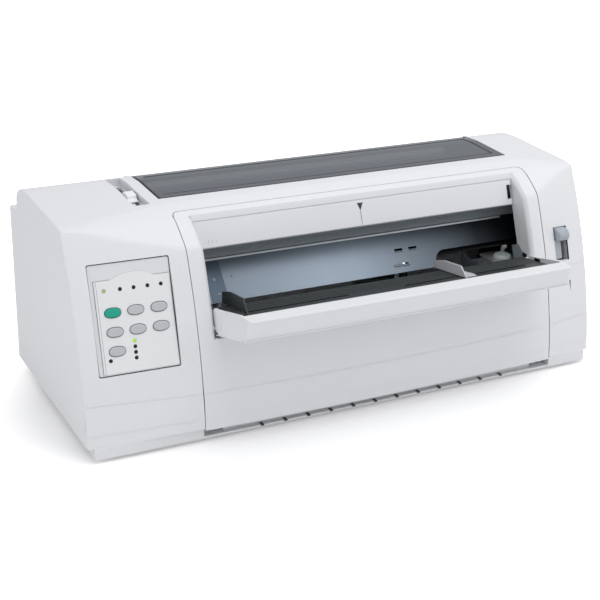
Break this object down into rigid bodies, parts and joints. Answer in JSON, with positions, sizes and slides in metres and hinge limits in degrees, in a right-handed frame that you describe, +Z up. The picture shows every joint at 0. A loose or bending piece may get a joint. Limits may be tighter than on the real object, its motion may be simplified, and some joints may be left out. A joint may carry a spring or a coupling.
{
  "type": "dot matrix printer",
  "caption": "Wide-carriage impact forms printer with hinged smoked window, drop-down sheet tray, operator panel, moving print carriage, platen and paper tractors",
  "frame": {"origin": "under the centre of the bounding box, on the surface the feet stand on", "axes": "+X to the operator's right along the carriage, +Y to the back, +Z up; the operator stands at -Y"},
  "size_m": [0.636, 0.318, 0.2387],
  "materials": {
    "shell": "fine moulded texture",
    "shell_grey": "fine moulded texture",
    "dark_plastic": "satin",
    "smoked_window": "polished, translucent",
    "zinc_plate": "zinc plated sheet steel",
    "steel": "ground",
    "black_plastic": "satin",
    "circuit_board": "solder mask",
    "teal_button": "satin",
    "grey_button": "satin",
    "nylon": "natural",
    "lamp": "clear",
    "rubber": "ground",
    "foot_rubber": "moulded"
  },
  "bodies": {
    "machine": {"base_pan": "shell_grey", "feet": "foot_rubber", "upper_casing": "shell", "rear_cover": "shell", "panel_bezel": "shell_grey", "panel_board": "circuit_board", "led_lenses": "lamp", "left_side_frame": "zinc_plate", "right_side_frame": "zinc_plate", "guide_plate": "zinc_plate", "front_rail": "steel", "rear_bridge": "zinc_plate", "lower_guide": "black_plastic", "cross_bar": "dark_plastic", "carriage_rod": "steel", "carriage_motor": "black_plastic", "carriage_belt": "rubber", "platen_bearings": "nylon", "gear_studs": "steel", "paper_motor": "black_plastic", "tractor_rod": "steel", "main_board": "circuit_board", "power_supply": "circuit_board", "power_inlet": "black_plastic", "interface_ports": "steel", "frame_screws": "steel", "cover_screws": "steel"},
    "front_cover": {"front_cover": "shell"},
    "sheet_tray": {"sheet_tray": "shell", "tray_floor": "dark_plastic"},
    "left_edge_guide": {"left_edge_guide": "dark_plastic"},
    "right_edge_guide": {"right_edge_guide": "shell_grey"},
    "exit_flap": {"exit_flap": "shell"},
    "access_cover": {"access_cover": "smoked_window"},
    "paper_select_lever": {"paper_select_lever": "zinc_plate"},
    "thickness_lever": {"thickness_lever": "shell"},
    "power_switch": {"power_switch": "black_plastic"},
    "carriage": {"carriage": "black_plastic", "print_head": "dark_plastic", "ribbon_cartridge": "black_plastic"},
    "drive_pulley": {"drive_pulley": "nylon"},
    "idler_pulley": {"idler_pulley": "nylon"},
    "platen": {"platen": "rubber", "platen_shaft": "steel", "platen_gear": "nylon"},
    "idler_gear": {"idler_gear": "nylon"},
    "motor_pinion": {"motor_pinion": "steel"},
    "tractor_shaft": {"tractor_shaft": "steel", "tractor_gear": "nylon"},
    "left_tractor": {"left_tractor": "shell_grey"},
    "right_tractor": {"right_tractor": "shell_grey"},
    "left_sprocket": {"left_sprocket": "nylon"},
    "right_sprocket": {"right_sprocket": "nylon"},
    "start_button": {"start_button": "teal_button"},
    "load_button": {"load_button": "grey_button"},
    "form_feed_button": {"form_feed_button": "grey_button"},
    "tear_off_button": {"tear_off_button": "grey_button"},
    "line_feed_button": {"line_feed_button": "grey_button"},
    "setup_button": {"setup_button": "grey_button"},
    "font_button": {"font_button": "grey_button"}
  },
  "joints": [
    {"name": "front_cover_hinge", "type": "hinge", "parent": "machine", "child": "front_cover", "pos_m": [0, -0.097, 0.02], "axis": [1, 0, 0], "range_deg": [0, 50]},
    {"name": "tray_hinge", "type": "hinge", "parent": "front_cover", "child": "sheet_tray", "pos_m": [0, -0.081, 0.12], "axis": [-1, 0, 0], "range_deg": [0, 94.7]},
    {"name": "left_guide_slide", "type": "slide", "parent": "sheet_tray", "child": "left_edge_guide", "axis": [1, 0, 0], "range_m": [-0.002, 0.12]},
    {"name": "right_guide_slide", "type": "slide", "parent": "sheet_tray", "child": "right_edge_guide", "axis": [1, 0, 0], "range_m": [-0.06, 0.075]},
    {"name": "exit_flap_hinge", "type": "hinge", "parent": "front_cover", "child": "exit_flap", "pos_m": [0, -0.023, 0.219], "axis": [-1, 0, 0], "range_deg": [0, 12]},
    {"name": "access_cover_hinge", "type": "hinge", "parent": "machine", "child": "access_cover", "pos_m": [0, 0.1065, 0.2332], "axis": [-1, 0, 0], "range_deg": [0, 85]},
    {"name": "paper_select_pivot", "type": "hinge", "parent": "machine", "child": "paper_select_lever", "pos_m": [0.284, -0.033, 0.165], "axis": [1, 0, 0], "range_deg": [0, 28]},
    {"name": "thickness_slide", "type": "slide", "parent": "machine", "child": "thickness_lever", "axis": [0, 1, 0], "range_m": [-0.026, 0.044]},
    {"name": "start_press", "type": "slide", "parent": "machine", "child": "start_button", "axis": [0.0415, 0.9478, -0.3161], "range_m": [0, 0.0015], "stiffness_N_per_m": 300, "springref_m": -0.0005},
    {"name": "load_press", "type": "slide", "parent": "machine", "child": "load_button", "axis": [0.0415, 0.9478, -0.3161], "range_m": [0, 0.0015], "stiffness_N_per_m": 300, "springref_m": -0.0005},
    {"name": "form_feed_press", "type": "slide", "parent": "machine", "child": "form_feed_button", "axis": [0.0415, 0.9478, -0.3161], "range_m": [0, 0.0015], "stiffness_N_per_m": 300, "springref_m": -0.0005},
    {"name": "tear_off_press", "type": "slide", "parent": "machine", "child": "tear_off_button", "axis": [0.0415, 0.9478, -0.3161], "range_m": [0, 0.0015], "stiffness_N_per_m": 300, "springref_m": -0.0005},
    {"name": "line_feed_press", "type": "slide", "parent": "machine", "child": "line_feed_button", "axis": [0.0415, 0.9478, -0.3161], "range_m": [0, 0.0015], "stiffness_N_per_m": 300, "springref_m": -0.0005},
    {"name": "setup_press", "type": "slide", "parent": "machine", "child": "setup_button", "axis": [0.0415, 0.9478, -0.3161], "range_m": [0, 0.0015], "stiffness_N_per_m": 300, "springref_m": -0.0005},
    {"name": "font_press", "type": "slide", "parent": "machine", "child": "font_button", "axis": [0.0415, 0.9478, -0.3161], "range_m": [0, 0.0015], "stiffness_N_per_m": 300, "springref_m": -0.0005},
    {"name": "power_rocker", "type": "hinge", "parent": "machine", "child": "power_switch", "pos_m": [-0.22, 0.147, 0.054], "axis": [1, 0, 0], "range_deg": [0, 10]},
    {"name": "carriage_slide", "type": "slide", "parent": "machine", "child": "carriage", "axis": [1, 0, 0], "range_m": [-0.36, 0.01]},
    {"name": "drive_pulley_spin", "type": "hinge", "parent": "machine", "child": "drive_pulley", "pos_m": [-0.172, 0.089, 0.194], "axis": [0, 0, 1], "range_deg": [-2430, 70]},
    {"name": "idler_pulley_spin", "type": "hinge", "parent": "machine", "child": "idler_pulley", "pos_m": [0.24, 0.089, 0.194], "axis": [0, 0, 1], "range_deg": [-2430, 70]},
    {"name": "platen_spin", "type": "hinge", "parent": "machine", "child": "platen", "pos_m": [0, 0.039, 0.16], "axis": [1, 0, 0], "continuous": true},
    {"name": "idler_gear_spin", "type": "hinge", "parent": "machine", "child": "idler_gear", "pos_m": [0.278, 0.00972, 0.13275], "axis": [1, 0, 0], "continuous": true},
    {"name": "motor_pinion_spin", "type": "hinge", "parent": "machine", "child": "motor_pinion", "pos_m": [0.278, 0.0305, 0.12075], "axis": [1, 0, 0], "continuous": true},
    {"name": "tractor_shaft_spin", "type": "hinge", "parent": "machine", "child": "tractor_shaft", "pos_m": [0, -0.007, 0.102], "axis": [1, 0, 0], "continuous": true},
    {"name": "left_tractor_slide", "type": "slide", "parent": "machine", "child": "left_tractor", "axis": [1, 0, 0], "range_m": [-0.035, 0.12]},
    {"name": "right_tractor_slide", "type": "slide", "parent": "machine", "child": "right_tractor", "axis": [1, 0, 0], "range_m": [-0.12, 0.02]},
    {"name": "left_sprocket_spin", "type": "hinge", "parent": "left_tractor", "child": "left_sprocket", "pos_m": [-0.152, -0.007, 0.102], "axis": [1, 0, 0], "continuous": true},
    {"name": "right_sprocket_spin", "type": "hinge", "parent": "right_tractor", "child": "right_sprocket", "pos_m": [0.232, -0.007, 0.102], "axis": [1, 0, 0], "continuous": true}
  ],
  "couplings": [
    {"joint": "drive_pulley_spin", "follows": "carriage_slide", "rad_per_m": 117.65},
    {"joint": "idler_pulley_spin", "follows": "carriage_slide", "rad_per_m": 117.65},
    {"joint": "idler_gear_spin", "follows": "platen_spin", "ratio": -1.5},
    {"joint": "motor_pinion_spin", "follows": "platen_spin", "ratio": 3},
    {"joint": "tractor_shaft_spin", "follows": "platen_spin", "ratio": 1.2632},
    {"joint": "left_sprocket_spin", "follows": "platen_spin", "ratio": 1.2632},
    {"joint": "right_sprocket_spin", "follows": "platen_spin", "ratio": 1.2632}
  ]
}
